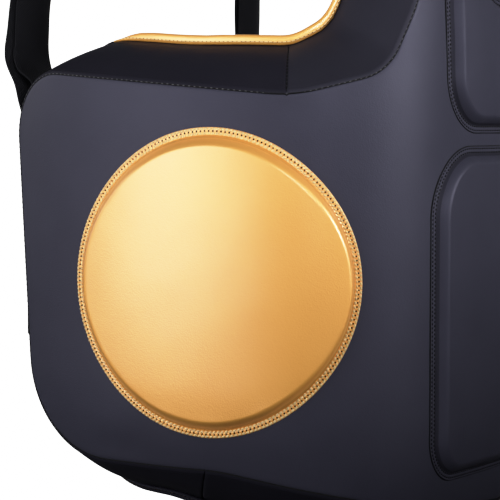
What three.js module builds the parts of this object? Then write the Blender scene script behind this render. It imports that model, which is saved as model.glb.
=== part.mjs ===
// Trainer's body protector for boxing and kick training: a thick bent pad round the front and flanks of a
// torso, with a round target on each flank, a chest panel and a belly panel on the front, sewn edge strips,
// bound edges, doubled shoulder straps and a waist strap across the back.
//
// Millimetres, +Z up. The wearer faces -Y, and the wearer's right is -X.
// The pad is drawn flat and then bent. On the flat drawing, s runs round the body from the centre line,
// positive to the wearer's right, z is the height over the targets' centre, and d is the depth of the pad,
// 0 on the lining and THICKNESS on the front cover.
import * as THREE from 'three';

// Driving dimensions
const THICKNESS = 55;
const TAB_THICKNESS = 30;
const THINNING_START = 205;
const LEATHER = 2;
const GAP = 0.4;
const TARGET_RADIUS = 105;
const TARGET_S = 279.5;
const BELLY_CENTRE = { s: 0, z: -26 };
const CHEST_CENTRE = { s: 0, z: 148 };
const ARMHOLE_SEAM_S = 226;
const BOTTOM_SEAM_S = 284;
const BINDING_CHANGE_S = 400;
const WEBBING = 2;
const SHOULDER_STRAP_WIDTH = 40;
const WAIST_STRAP_WIDTH = 50;
const EDGE_BULGE = 4;

// Where the body frame's origin lies on the drawing: midway between the shoulder straps, under their crests
const ORIGIN = { y: 150, z: 404 };

// The front cover's plan, from the centre line to the rear edge
const PLAN_ARCS = [
  { name: 'front', radius: 800, length: 100 },
  { name: 'front corner', radius: 128, length: 130 },
  { name: 'flank', radius: 270, length: 320 },
];

// The front cover's seam, from the bottom round the wearer's right flank to the neck, with filleted corners.
// flare is how far the lining's edge stands out past the seam there, and reach how far its binding goes on.
const OUTLINE_ROWS = [
  { at: 'bottom centre', s: 0, z: -173, r: 0, flare: 29, reach: 7 },
  { at: 'belly bottom', s: 112, z: -163, r: 160, flare: 29, reach: 7 },
  { at: 'flank bottom', s: 275, z: -131, r: 160, flare: 33, reach: 6 },
  { at: 'flank bottom rear', s: 345, z: -129, r: 300, flare: 24, reach: 4.5 },
  { at: 'rear bottom', s: 434, z: -127, r: 76, flare: 25, reach: 2.5 },
  { at: 'rear low', s: 440.5, z: -58, r: 60, flare: 8, reach: 3 },
  { at: 'rear top', s: 458, z: 149, r: 44, flare: 8, reach: 1.5 },
  { at: 'flank top rear', s: 390, z: 143.4, r: 300, flare: 26, reach: 5 },
  { at: 'flank top', s: 345, z: 139.6, r: 60, flare: 27, reach: 6.2 },
  { at: 'armhole bottom', s: 223, z: 128.5, r: 110, flare: 34, reach: 6.5 },
  { at: 'armhole corner', s: 155, z: 144.5, r: 42, flare: 37, reach: 7.5 },
  { at: 'armhole side', s: 121, z: 208, r: 120, flare: 31, reach: 7 },
  { at: 'tab outer', s: 117, z: 332, r: 16, flare: 12, reach: 6 },
  { at: 'tab inner', s: 68, z: 332, r: 16, flare: 12, reach: 6 },
  { at: 'neck side', s: 68, z: 215, r: 64, flare: 26, reach: 7 },
  { at: 'neck centre', s: 0, z: 215, r: 0, flare: 28, reach: 7 },
];

const BELLY_ROWS = [
  { at: 'bottom centre', s: 0, z: -145, r: 0 },
  { at: 'bottom corner', s: 116.5, z: -145, r: 33 },
  { at: 'top corner', s: 116.5, z: 93, r: 52 },
  { at: 'top centre', s: 0, z: 93, r: 0 },
];

const CHEST_ROWS = [
  { at: 'bottom centre', s: 0, z: 101.5, r: 0 },
  { at: 'bottom corner', s: 95.5, z: 101.5, r: 42 },
  { at: 'horn outer', s: 103, z: 238, r: 8 },
  { at: 'horn inner', s: 80, z: 236, r: 6 },
  { at: 'neck scoop', s: 36, z: 198, r: 85 },
  { at: 'neck centre', s: 0, z: 198, r: 0 },
];

// A sewn-on pad's rise over the front cover, by distance in from its edge
const PAD_RISE_ROWS = [
  { inset: 0, rise: 2.2 },
  { inset: 6, rise: 2.4 },
  { inset: 9, rise: 6.6 },
  { inset: 14, rise: 9.6 },
  { inset: 21, rise: 10.8 },
];
const PAD_CROWN = 12.6;

// The right shoulder strap's inner layer, from the shoulder tab over the shoulder to the rear edge strip.
// turn is the strap's turn about the upright axis, in degrees.
const STRAP_ROWS = [
  { at: 'tab', x: -92.5, y: 44, z: 343.5, turn: 0 },
  { at: 'over the tab', x: -94, y: 50, z: 368, turn: 0 },
  { at: 'shoulder front', x: -99, y: 80, z: 395, turn: 0 },
  { at: 'shoulder crest', x: -106, y: 145, z: 405, turn: 0 },
  { at: 'shoulder rear', x: -114, y: 210, z: 394, turn: 0 },
  { at: 'shoulder blade', x: -127, y: 262, z: 356, turn: 0 },
  { at: 'upper back', x: -142, y: 295, z: 300, turn: -2 },
  { at: 'mid back', x: -154, y: 309, z: 240, turn: -3 },
  { at: 'above the pad', x: -160, y: 313.5, z: 200, turn: -3 },
  { at: 'over the bend', x: -161, y: 314.5, z: 178, turn: -3 },
  { at: 'slack bend', x: -162.5, y: 313.5, z: 160, turn: -3 },
  { at: 'under the bend', x: -168, y: 306.5, z: 148, turn: -3 },
  { at: 'rear corner', x: -171, y: 293, z: 138, turn: -3 },
  { at: 'sewn end', x: -172, y: 294, z: 120, turn: -3 },
];

// The right shoulder strap's outer layer, from its end on the inner layer down to the rear edge strip
const RETURN_ROWS = [
  { at: 'upper end', x: -142.5, y: 299, z: 300, turn: -2 },
  { at: 'mid back', x: -155, y: 313, z: 240, turn: -3 },
  { at: 'above the pad', x: -161.5, y: 318, z: 200, turn: -3 },
  { at: 'over the bend', x: -164.5, y: 319, z: 178, turn: -3 },
  { at: 'slack bend', x: -168, y: 318.5, z: 156, turn: -3 },
  { at: 'under the bend', x: -169.5, y: 309, z: 138, turn: -3 },
  { at: 'rear corner', x: -171, y: 304.5, z: 125, turn: -3 },
  { at: 'on the edge strip', x: -172, y: 299.5, z: 111, turn: -3 },
  { at: 'sewn', x: -172, y: 297.5, z: 94, turn: -3 },
  { at: 'sewn end', x: -173, y: 293.4, z: 48, turn: -3 },
];

// The right half of the waist strap, from the rear edge strip round the back to the centre
const WAIST_ROWS = [
  { at: 'sewn end', x: -199, y: 291.6, z: -20 },
  { at: 'on the edge strip', x: -178, y: 290.6, z: -20 },
  { at: 'past the binding', x: -155, y: 290.6, z: -20 },
  { at: 'off the pad', x: -140, y: 291.6, z: -20 },
  { at: 'side of the back', x: -110, y: 294, z: -20 },
  { at: 'back', x: -55, y: 296.5, z: -20 },
  { at: 'back centre', x: 0, y: 297.5, z: -20 },
];

// Mesh density
const BAND_ROWS = 3;
const CHEST_ROWS_UP = 4;
const TAB_ROWS = 7;
const CHEST_COLUMNS = 16;
const FLANK_COLUMNS = 14;
const DISC_SIDES = 40;
const PANEL_SIDES = 44;
const STRAP_STEPS = 3;

// The rings of a sewn-on pad's underside and of its crown, as shares of the way in to its centre
const BASE_SHARES = [0.8, 0.6, 0.4, 0.2, 0];
const CROWN_SHARES = [0.35, 0.7];

const BLACK_LEATHER = new THREE.MeshStandardMaterial({ color: 0x23232a, roughness: 0.5, metalness: 0 });
const GOLD_LEATHER = new THREE.MeshStandardMaterial({ color: 0xd39a3c, roughness: 0.35, metalness: 0.7 });
const BLACK_WEBBING = new THREE.MeshStandardMaterial({ color: 0x17171b, roughness: 0.85, metalness: 0 });

const lerp = THREE.MathUtils.lerp;
const smooth = (x, low, high) => THREE.MathUtils.smoothstep(x, low, high);

const outlineRow = (name) => OUTLINE_ROWS.find((row) => row.at === name);

/** A point of the flat drawing between two others. */
const between = (from, to, share) => ({ s: lerp(from.s, to.s, share), z: lerp(from.z, to.z, share) });

/** The front cover's depth, thinner towards the shoulder tabs. */
function frontDepth(z) {
  return lerp(THICKNESS, TAB_THICKNESS, smooth(z, THINNING_START, outlineRow('tab outer').z));
}

/** Point and outward direction on the front cover's plan, at arc length s from the centre line. */
function planAt(s) {
  let left = Math.abs(s);
  let angle = 0;
  let x = 0;
  let y = 0;
  for (const [i, arc] of PLAN_ARCS.entries()) {
    const last = i === PLAN_ARCS.length - 1;
    const step = last ? left : Math.min(left, arc.length);
    const turned = angle + step / arc.radius;
    x += arc.radius * (Math.sin(angle) - Math.sin(turned));
    y += arc.radius * (Math.cos(angle) - Math.cos(turned));
    angle = turned;
    left -= step;
    if (left <= 0) break;
  }
  const side = s < 0 ? -1 : 1;
  return { x: side * x, y, outX: -side * Math.sin(angle), outY: -Math.cos(angle) };
}

/** Bends a point of the flat drawing round the body. */
function bend(s, z, d) {
  const plan = planAt(s);
  const out = d - THICKNESS;
  return new THREE.Vector3(plan.x + out * plan.outX, plan.y + out * plan.outY, z);
}

/** A line through corner rows with filleted corners, and the lengths at which each fillet starts and ends. */
function filletedPath(rows) {
  const points = rows.map((row) => new THREE.Vector2(row.s, row.z));
  const path = new THREE.Path().moveTo(points[0].x, points[0].y);
  const marks = { [rows[0].at]: { start: 0, mid: 0, end: 0 } };
  for (let i = 1; i < rows.length - 1; i++) {
    const into = points[i].clone().sub(points[i - 1]).normalize();
    const out = points[i + 1].clone().sub(points[i]).normalize();
    const turn = Math.atan2(into.cross(out), into.dot(out));
    const radius = rows[i].r;
    const tangent = radius * Math.tan(Math.abs(turn) / 2);
    const start = points[i].clone().addScaledVector(into, -tangent);
    const side = Math.sign(turn);
    const centre = start.clone().add(new THREE.Vector2(-into.y, into.x).multiplyScalar(side * radius));
    const from = Math.atan2(start.y - centre.y, start.x - centre.x);
    path.lineTo(start.x, start.y);
    const startLength = path.getLength();
    path.absarc(centre.x, centre.y, radius, from, from + turn, side < 0);
    path.updateArcLengths();
    const endLength = path.getLength();
    marks[rows[i].at] = { start: startLength, mid: (startLength + endLength) / 2, end: endLength };
  }
  const end = points[points.length - 1];
  path.lineTo(end.x, end.y);
  path.updateArcLengths();
  const length = path.getLength();
  marks[rows[rows.length - 1].at] = { start: length, mid: length, end: length };
  return { path, marks, length };
}

/** A column of the outline's table at a length along it, eased between its rows. */
function outlineValue(column, length) {
  for (let i = 1; i < OUTLINE_ROWS.length; i++) {
    const before = OUTLINE_ROWS[i - 1];
    const after = OUTLINE_ROWS[i];
    const low = marks[before.at].mid;
    const high = marks[after.at].mid;
    if (length <= high) return lerp(before[column], after[column], smooth(length, low, high));
  }
  return OUTLINE_ROWS[OUTLINE_ROWS.length - 1][column];
}

/** Samples a filleted path between two lengths, closer together where it turns, with outward directions. */
function sampleRun(line, fromLength, toLength, count) {
  const FINE = 240;
  const SPACING = 24;
  const TURN_SPACING = THREE.MathUtils.degToRad(16);
  const PATH_END = 1e-4;
  const ROUNDING = 1e-9;
  const fine = [];
  let weight = 0;
  for (let i = 0; i <= FINE; i++) {
    const length = lerp(fromLength, toLength, i / FINE);
    const t = length / line.length;
    const point = line.path.getPoint(t);
    const tangent = line.path.getTangent(THREE.MathUtils.clamp(t, PATH_END, 1 - PATH_END));
    if (i > 0) {
      const last = fine[i - 1];
      weight += point.distanceTo(last.point) / SPACING + last.tangent.angleTo(tangent) / TURN_SPACING;
    }
    fine.push({ point, tangent, weight, length });
  }
  const samples = [];
  for (let i = 0; i <= count; i++) {
    const wanted = (weight * i) / count;
    const at = Math.min(FINE, Math.max(1, fine.findIndex((f) => f.weight >= wanted - ROUNDING)));
    const low = fine[at - 1];
    const high = fine[at];
    const share = THREE.MathUtils.clamp((wanted - low.weight) / (high.weight - low.weight), 0, 1);
    const point = low.point.clone().lerp(high.point, share);
    const tangent = low.tangent.clone().lerp(high.tangent, share).normalize();
    const length = lerp(low.length, high.length, share);
    samples.push({ s: point.x, z: point.y, outS: tangent.y, outZ: -tangent.x, length });
  }
  return samples;
}

const mirrored = (sample) => ({ ...sample, s: -sample.s, outS: -sample.outS });

/** Moves an edge sample out from the front seam by a share of the flare and by a plain distance. */
function moved(sample, flareShare, distance) {
  const step = flareShare * outlineValue('flare', sample.length) + distance;
  return { s: sample.s + step * sample.outS, z: sample.z + step * sample.outZ };
}

/** Collects the points and faces of one closed body and makes its mesh, with its faces pointing out. */
class Body {
  constructor() {
    this.points = [];
    this.faces = [];
  }

  add(point) {
    this.points.push(point);
    return this.points.length - 1;
  }

  quad(a, b, c, d) {
    this.faces.push([a, b, c], [a, c, d]);
  }

  volume() {
    const triple = (face) => {
      const [a, b, c] = face.map((i) => this.points[i]);
      return a.dot(b.clone().cross(c)) / 6;
    };
    return this.faces.reduce((sum, face) => sum + triple(face), 0);
  }

  mesh(name, material) {
    const faces = this.volume() < 0 ? this.faces.map(([a, b, c]) => [a, c, b]) : this.faces;
    const geometry = new THREE.BufferGeometry().setFromPoints(this.points);
    geometry.setIndex(faces.flat());
    geometry.computeVertexNormals();
    const made = new THREE.Mesh(geometry, material);
    made.name = name;
    return made;
  }
}

/** A body through rings of points. Its ends are closed across, or run to a point where one is given. */
function loft(rings, ends = {}) {
  const body = new Body();
  const ids = rings.map((ring) => ring.map((point) => body.add(point)));
  const n = ids[0].length;
  for (let i = 1; i < ids.length; i++) {
    for (let j = 0; j < n; j++) {
      const k = (j + 1) % n;
      body.quad(ids[i - 1][j], ids[i - 1][k], ids[i][k], ids[i][j]);
    }
  }
  const close = (ring, pole, reversed) => {
    const face = (a, b, c) => body.faces.push(reversed ? [a, c, b] : [a, b, c]);
    if (pole) {
      const top = body.add(pole);
      for (let j = 0; j < n; j++) face(ring[j], ring[(j + 1) % n], top);
      return;
    }
    for (let j = 0, k = n - 1; j + 1 < k; j++, k--) {
      face(ring[j], ring[j + 1], ring[k]);
      if (j + 1 < k - 1) face(ring[j + 1], ring[k - 1], ring[k]);
    }
  };
  close(ids[0], ends.first, true);
  close(ids[ids.length - 1], ends.last, false);
  return body;
}

// The pad's edge, sampled once and shared by the pad, its edge strips and its bindings
const outline = filletedPath(OUTLINE_ROWS);
const marks = outline.marks;
const neckHeight = outlineRow('neck centre').z;

/** The length at which the outline first passes a test, searching on from a length. */
function lengthWhere(fromLength, test) {
  const STEP = 0.25;
  for (let length = fromLength; length < outline.length; length += STEP) {
    if (test(outline.path.getPoint(length / outline.length))) return length;
  }
  return outline.length;
}

const cornerS = outline.path.getPoint(marks['armhole corner'].mid / outline.length).x;
const underCorner = lengthWhere(0, (p) => p.x >= cornerS);
const chestTop = lengthWhere(marks['armhole corner'].mid, (p) => p.y >= neckHeight);

const chains = {
  bottomFront: sampleRun(outline, 0, underCorner, CHEST_COLUMNS / 2),
  bottomRear: sampleRun(outline, underCorner, marks['rear bottom'].end, FLANK_COLUMNS),
  rear: sampleRun(outline, marks['rear bottom'].end, marks['rear top'].start, BAND_ROWS),
  flankTop: sampleRun(outline, marks['rear top'].start, marks['armhole corner'].mid, FLANK_COLUMNS),
  armholeLow: sampleRun(outline, marks['armhole corner'].mid, chestTop, CHEST_ROWS_UP),
  armholeHigh: sampleRun(outline, chestTop, marks['tab outer'].end, TAB_ROWS),
  tabTop: sampleRun(outline, marks['tab outer'].end, marks['tab inner'].start, CHEST_COLUMNS / 2),
  neck: sampleRun(outline, marks['tab inner'].start, outline.length, TAB_ROWS),
};

/** The whole edge as one closed ring of samples: up the wearer's right side, and down the left. */
function edgeRing() {
  const right = [];
  for (const run of Object.values(chains)) right.push(...run.slice(0, -1));
  right.push(chains.neck[chains.neck.length - 1]);
  const left = right.slice(1, -1).reverse().map(mirrored);
  return [...right, ...left];
}

const edge = edgeRing();
const edgeAt = (i) => edge[((i % edge.length) + edge.length) % edge.length];
const chainStart = {};
Object.entries(chains).reduce((count, [name, run]) => {
  chainStart[name] = count;
  return count + run.length - 1;
}, 0);

/** One face of the pad as a grid: the band round the body, the chest over it, and the two shoulder tabs. */
function padGrid(place) {
  const points = [];
  const quads = [];
  const rowOf = (from, to, count) => {
    const row = [];
    for (let i = 0; i <= count; i++) row.push(between(from, to, i / count));
    return row;
  };
  const addRow = (row) => row.map((point) => points.push(point) - 1);
  const fill = (lower, upper) => {
    for (let i = 1; i < lower.length; i++) quads.push([lower[i - 1], lower[i], upper[i], upper[i - 1]]);
  };
  const at = (name) => chains[name].map(place);
  const leftOf = (point) => ({ s: -point.s, z: point.z });

  const bottomRight = [...at('bottomRear').reverse(), ...at('bottomFront').reverse().slice(1)];
  const bottom = [...bottomRight, ...bottomRight.slice(0, -1).reverse().map(leftOf)];
  const flank = at('flankTop');
  const corner = flank[flank.length - 1];
  const shelf = rowOf(corner, leftOf(corner), CHEST_COLUMNS);
  const top = [...flank, ...shelf.slice(1, -1), ...flank.slice().reverse().map(leftOf)];
  const rear = at('rear');
  let lower = addRow(bottom);
  for (let j = 1; j <= BAND_ROWS; j++) {
    const inner = bottom.map((point, c) => between(point, top[c], j / BAND_ROWS));
    const upper = addRow([rear[j], ...inner.slice(1, -1), leftOf(rear[j])]);
    fill(lower, upper);
    lower = upper;
  }

  let chest = lower.slice(FLANK_COLUMNS, FLANK_COLUMNS + CHEST_COLUMNS + 1);
  const sides = at('armholeLow');
  const tops = at('armholeHigh');
  const neck = at('neck').reverse();
  for (let k = 1; k < sides.length; k++) {
    const level = k === sides.length - 1;
    const half = rowOf(sides[k], level ? neck[0] : { s: 0, z: sides[k].z }, CHEST_COLUMNS / 2);
    const upper = addRow([...half, ...half.slice(0, -1).reverse().map(leftOf)]);
    fill(chest, upper);
    chest = upper;
  }

  const middle = CHEST_COLUMNS / 2;
  let rightTab = chest.slice(0, middle + 1);
  let leftTab = chest.slice(middle);
  for (let k = 1; k < tops.length; k++) {
    const row = rowOf(tops[k], neck[k], middle);
    const right = addRow(row);
    const left = addRow(row.slice().reverse().map(leftOf));
    fill(rightTab, right);
    fill(leftTab, left);
    rightTab = right;
    leftTab = left;
  }
  return { points, quads };
}

/** The pad itself: cover, foam and lining, as one thick body inside its edge strips. */
function bodyPad() {
  const CLEAR = -(LEATHER + GAP);
  const front = padGrid((sample) => moved(sample, 0, CLEAR));
  const lining = padGrid((sample) => moved(sample, 1, CLEAR));
  const middle = padGrid((sample) => moved(sample, 0.5, CLEAR + EDGE_BULGE));
  const body = new Body();
  const frontIds = front.points.map((p) => body.add(bend(p.s, p.z, frontDepth(p.z))));
  const liningIds = lining.points.map((p) => body.add(bend(p.s, p.z, 0)));
  const uses = new Map();
  for (const quad of front.quads) {
    const [a, b, c, d] = quad;
    body.quad(frontIds[a], frontIds[b], frontIds[c], frontIds[d]);
    body.quad(liningIds[d], liningIds[c], liningIds[b], liningIds[a]);
    for (let i = 0; i < 4; i++) {
      const from = quad[i];
      const to = quad[(i + 1) % 4];
      if (!uses.delete(`${to},${from}`)) uses.set(`${from},${to}`, [from, to]);
    }
  }
  const middleIds = new Map();
  const middleId = (i) => {
    if (!middleIds.has(i)) {
      const p = middle.points[i];
      middleIds.set(i, body.add(bend(p.s, p.z, frontDepth(front.points[i].z) / 2)));
    }
    return middleIds.get(i);
  };
  for (const [from, to] of uses.values()) {
    body.quad(frontIds[from], middleId(from), middleId(to), frontIds[to]);
    body.quad(middleId(from), liningIds[from], liningIds[to], middleId(to));
  }
  return body.mesh('body_pad', BLACK_LEATHER);
}

/** Rings along a run of the pad's edge. The end rings stop short, so that neighbouring pieces keep a gap. */
function edgeRings(from, to, section) {
  const rings = [];
  for (let i = from; i <= to; i++) rings.push(section(edgeAt(i)));
  const pull = (ring, next) => {
    const span = ring[0].distanceTo(next[0]);
    return ring.map((point, j) => point.clone().lerp(next[j], GAP / span));
  };
  const last = rings.length - 1;
  const first = pull(rings[0], rings[1]);
  rings[last] = pull(rings[last], rings[last - 1]);
  rings[0] = first;
  return rings;
}

/** A leather strip across the pad's edge, from the front seam to the lining's edge. */
function edgeStrip(name, from, to) {
  const section = (sample) => {
    const depth = frontDepth(sample.z);
    const at = (share, distance, d) => {
      const p = moved(sample, share, distance);
      return bend(p.s, p.z, d);
    };
    return [
      at(0, 0, depth),
      at(0.5, EDGE_BULGE, depth / 2),
      at(1, 0, 0),
      at(1, -LEATHER, 0),
      at(0.5, EDGE_BULGE - LEATHER, depth / 2),
      at(0, -LEATHER, depth),
    ];
  };
  return loft(edgeRings(from, to, section)).mesh(name, BLACK_LEATHER);
}

/** A folded binding standing out from the lining's edge, with its outer corners bevelled. */
function edgeBinding(name, from, to, material) {
  const DEPTH = 5;
  const INNER_FACE = 0.2;
  const BEVEL = 0.3;
  const section = (sample) => {
    const reach = outlineValue('reach', sample.length);
    const at = (out, d) => {
      const p = moved(sample, 1, GAP + out);
      return bend(p.s, p.z, d);
    };
    return [
      at(0, INNER_FACE),
      at(0, DEPTH),
      at((1 - BEVEL) * reach, DEPTH),
      at(reach, (1 - BEVEL) * DEPTH),
      at(reach, BEVEL * DEPTH),
      at((1 - BEVEL) * reach, INNER_FACE),
    ];
  };
  return loft(edgeRings(from, to, section)).mesh(name, material);
}

/** A sewn-on pad: a flat stitched rim, a soft shoulder and a crowned middle, bent with the cover under it. */
function sewnPad(name, rim, centre, material) {
  const FLOOR = 1;
  const lift = (point, rise) => bend(point.s, point.z, frontDepth(point.z) + rise);
  const inset = (sample, distance) => ({
    s: sample.s - distance * sample.outS,
    z: sample.z - distance * sample.outZ,
  });
  const rings = [];
  for (const share of BASE_SHARES) {
    rings.push(rim.map((sample) => lift(between(sample, centre, share), FLOOR)));
  }
  for (const row of PAD_RISE_ROWS) {
    rings.push(rim.map((sample) => lift(inset(sample, row.inset), row.rise)));
  }
  const last = PAD_RISE_ROWS[PAD_RISE_ROWS.length - 1];
  for (const share of CROWN_SHARES) {
    const rise = lerp(last.rise, PAD_CROWN, share);
    rings.push(rim.map((sample) => lift(between(inset(sample, last.inset), centre, share), rise)));
  }
  return loft(rings, { first: lift(centre, FLOOR), last: lift(centre, PAD_CROWN) }).mesh(name, material);
}

/** The rim of a round target. */
function discRim(centreS) {
  const rim = [];
  for (let i = 0; i < DISC_SIDES; i++) {
    const angle = (2 * Math.PI * i) / DISC_SIDES;
    const outS = Math.cos(angle);
    const outZ = Math.sin(angle);
    rim.push({ s: centreS + TARGET_RADIUS * outS, z: TARGET_RADIUS * outZ, outS, outZ });
  }
  return rim;
}

/** The rim of a panel across the centre line, from the rows of its right half. */
function panelRim(rows) {
  const line = filletedPath(rows);
  const right = sampleRun(line, 0, line.length, PANEL_SIDES / 2);
  return [...right, ...right.slice(1, -1).reverse().map(mirrored)];
}

/** A flat strap through its rows, with a few sections to each row, all square to its route. */
function strap(name, rows, width, acrossAt) {
  const knots = rows.map((row) => new THREE.Vector3(row.x, row.y, row.z));
  const route = new THREE.CatmullRomCurve3(knots, false, 'centripetal');
  const last = rows.length - 1;
  const steps = STRAP_STEPS * last;
  const rings = [];
  for (let i = 0; i <= steps; i++) {
    const centre = route.getPoint(i / steps);
    const along = route.getTangent(i / steps);
    const row = Math.min(Math.floor(i / STRAP_STEPS), last - 1);
    const across = acrossAt(rows[row], rows[row + 1], i / STRAP_STEPS - row);
    const side = across.addScaledVector(along, -across.dot(along)).normalize();
    const normal = along.clone().cross(side);
    const corner = (a, b) => {
      const point = centre.clone().addScaledVector(side, (a * width) / 2);
      return point.addScaledVector(normal, (b * WEBBING) / 2);
    };
    rings.push([corner(-1, -1), corner(1, -1), corner(1, 1), corner(-1, 1)]);
  }
  return loft(rings).mesh(name, BLACK_WEBBING);
}

/** The width direction of a shoulder strap between two rows: across the body, turned as the rows say. */
function acrossBody(low, high, share) {
  const turn = THREE.MathUtils.degToRad(lerp(low.turn, high.turn, share));
  return new THREE.Vector3(Math.cos(turn), Math.sin(turn), 0);
}

const upright = () => new THREE.Vector3(0, 0, 1);
const toLeft = (row) => ({ ...row, x: -row.x, turn: -row.turn });

/** The edge sample of one chain that lies nearest to a place along s. */
function nearestInChain(name, s) {
  const distances = chains[name].map((sample) => Math.abs(sample.s - s));
  return chainStart[name] + distances.indexOf(Math.min(...distances));
}

// Seams across the edge strips, and where the gold binding gives way to the black one
const armholeSeam = nearestInChain('flankTop', ARMHOLE_SEAM_S);
const bottomSeam = nearestInChain('bottomRear', BOTTOM_SEAM_S);
const bindingChange = nearestInChain('flankTop', BINDING_CHANGE_S);
const tabInner = chainStart.neck;
const tabOuter = chainStart.tabTop;
const opposite = (i) => edge.length - i;

const pad = new THREE.Group();
pad.add(
  bodyPad(),
  edgeStrip('flank_gusset_right', bottomSeam, armholeSeam),
  edgeStrip('flank_gusset_left', opposite(armholeSeam), opposite(bottomSeam)),
  edgeStrip('armhole_gusset_right', armholeSeam, tabInner),
  edgeStrip('armhole_gusset_left', opposite(tabInner), opposite(armholeSeam)),
  edgeStrip('neck_gusset', tabInner, opposite(tabInner)),
  edgeStrip('bottom_gusset', -bottomSeam, bottomSeam),
  edgeBinding('armhole_binding_right', bindingChange, tabOuter, GOLD_LEATHER),
  edgeBinding('armhole_binding_left', opposite(tabOuter), opposite(bindingChange), GOLD_LEATHER),
  edgeBinding('neck_binding', tabInner, opposite(tabInner), GOLD_LEATHER),
  edgeBinding('lower_binding', -bindingChange, bindingChange, BLACK_LEATHER),
  sewnPad('target_right', discRim(TARGET_S), { s: TARGET_S, z: 0 }, GOLD_LEATHER),
  sewnPad('target_left', discRim(-TARGET_S), { s: -TARGET_S, z: 0 }, GOLD_LEATHER),
  sewnPad('belly_panel', panelRim(BELLY_ROWS), BELLY_CENTRE, BLACK_LEATHER),
  sewnPad('chest_panel', panelRim(CHEST_ROWS), CHEST_CENTRE, BLACK_LEATHER),
);

const waistRows = [...WAIST_ROWS, ...WAIST_ROWS.slice(0, -1).reverse().map(toLeft)];
const harness = new THREE.Group();
harness.add(
  strap('shoulder_strap_right', STRAP_ROWS, SHOULDER_STRAP_WIDTH, acrossBody),
  strap('shoulder_strap_left', STRAP_ROWS.map(toLeft), SHOULDER_STRAP_WIDTH, acrossBody),
  strap('strap_return_right', RETURN_ROWS, SHOULDER_STRAP_WIDTH, acrossBody),
  strap('strap_return_left', RETURN_ROWS.map(toLeft), SHOULDER_STRAP_WIDTH, acrossBody),
  strap('waist_strap', waistRows, WAIST_STRAP_WIDTH, upright),
);

const bodyProtector = new THREE.Group();
bodyProtector.position.set(0, -ORIGIN.y, -ORIGIN.z);
bodyProtector.add(pad, harness);

export default bodyProtector;
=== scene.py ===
"""Looks of a trainer's body protector: black leather, gold targets and bindings, black webbing straps.

The pad is drawn flat, in millimetres, and then bent round the body. On the drawing, s runs round the body
from the centre line, positive to the wearer's right, z is the height over the targets' centre, and d is the
depth of the pad, 0 on the lining and THICKNESS on the front cover. The wearer faces -Y.
"""
import math
from collections import namedtuple

import bpy
import numpy as np
from mathutils import Euler, Matrix, Vector, noise
from mathutils.geometry import delaunay_2d_cdt


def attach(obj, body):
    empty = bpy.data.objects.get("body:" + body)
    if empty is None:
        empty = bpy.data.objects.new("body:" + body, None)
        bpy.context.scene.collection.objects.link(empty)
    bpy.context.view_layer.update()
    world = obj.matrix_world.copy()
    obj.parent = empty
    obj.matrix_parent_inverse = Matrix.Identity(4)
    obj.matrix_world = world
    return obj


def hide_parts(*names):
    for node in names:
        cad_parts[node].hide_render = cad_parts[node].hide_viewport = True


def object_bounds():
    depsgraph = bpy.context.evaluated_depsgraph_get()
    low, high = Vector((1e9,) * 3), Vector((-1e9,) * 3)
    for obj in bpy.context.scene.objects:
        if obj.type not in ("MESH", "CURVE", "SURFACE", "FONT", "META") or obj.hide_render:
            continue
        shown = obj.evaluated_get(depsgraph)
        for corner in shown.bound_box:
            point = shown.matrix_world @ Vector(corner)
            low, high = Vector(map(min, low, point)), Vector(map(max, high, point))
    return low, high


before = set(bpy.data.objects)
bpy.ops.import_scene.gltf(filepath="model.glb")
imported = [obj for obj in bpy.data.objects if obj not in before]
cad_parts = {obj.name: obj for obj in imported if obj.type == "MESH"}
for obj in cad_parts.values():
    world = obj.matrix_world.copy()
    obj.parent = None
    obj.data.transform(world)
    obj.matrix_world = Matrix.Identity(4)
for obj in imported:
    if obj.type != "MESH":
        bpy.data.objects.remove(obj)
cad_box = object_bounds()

MM = 0.001
TINY = 1e-12

# Driving dimensions
THICKNESS = 55.0
TAB_THICKNESS = 30.0
THINNING_START = 205.0
TARGET_RADIUS = 104.7
TARGET_S = 279.5
BELLY_HALF_WIDTH = 116.5
CHEST_HALF_HEIGHT = 50.0
ARMHOLE_SEAM_S = 226.0
BOTTOM_SEAM_S = 284.0
BOTTOM_SLANT = 22.0
BINDING_CHANGE_S = 400.0
SHOULDER_STRAP_WIDTH = 40.0
WAIST_STRAP_WIDTH = 50.0
WEBBING = 2.0
EDGE_BULGE = 4.0
LEATHER = 1.6
BINDING_DEPTH = 5.0

# Where the body frame's origin lies on the drawing: midway between the shoulder straps, under their crests
ORIGIN = np.array([0.0, 150.0, 404.0])

# The front cover's plan, from the centre line to the rear edge: radius and length of each arc
PLAN_ARCS = [(800.0, 100.0), (128.0, 130.0), (270.0, 1000.0)]

# The front cover's seam, from the bottom round the wearer's right flank to the neck, with filleted corners.
# flare is how far the lining's edge stands out past the seam there, and reach how far its binding goes on.
Corner = namedtuple("Corner", "at s z r flare reach", defaults=(0.0, 0.0))
OUTLINE_ROWS = [
    Corner("bottom centre", 0, -173, 0, 29, 7),
    Corner("belly bottom", 112, -163, 160, 29, 7),
    Corner("flank bottom", 275, -131, 160, 33, 6),
    Corner("flank bottom rear", 345, -129, 300, 24, 4.5),
    Corner("rear bottom", 434, -127, 76, 25, 2.5),
    Corner("rear low", 440.5, -58, 60, 8, 3),
    Corner("rear top", 458, 149, 44, 8, 1.5),
    Corner("flank top rear", 390, 143.4, 300, 26, 5),
    Corner("flank top", 345, 139.6, 60, 27, 6.2),
    Corner("armhole bottom", 223, 128.5, 110, 34, 6.5),
    Corner("armhole corner", 155, 144.5, 42, 37, 7.5),
    Corner("armhole side", 121, 208, 120, 31, 7),
    Corner("tab outer", 117, 332, 16, 12, 6),
    Corner("tab inner", 68, 332, 16, 12, 6),
    Corner("neck side", 68, 215, 64, 26, 7),
    Corner("neck centre", 0, 215, 0, 28, 7),
]
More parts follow.
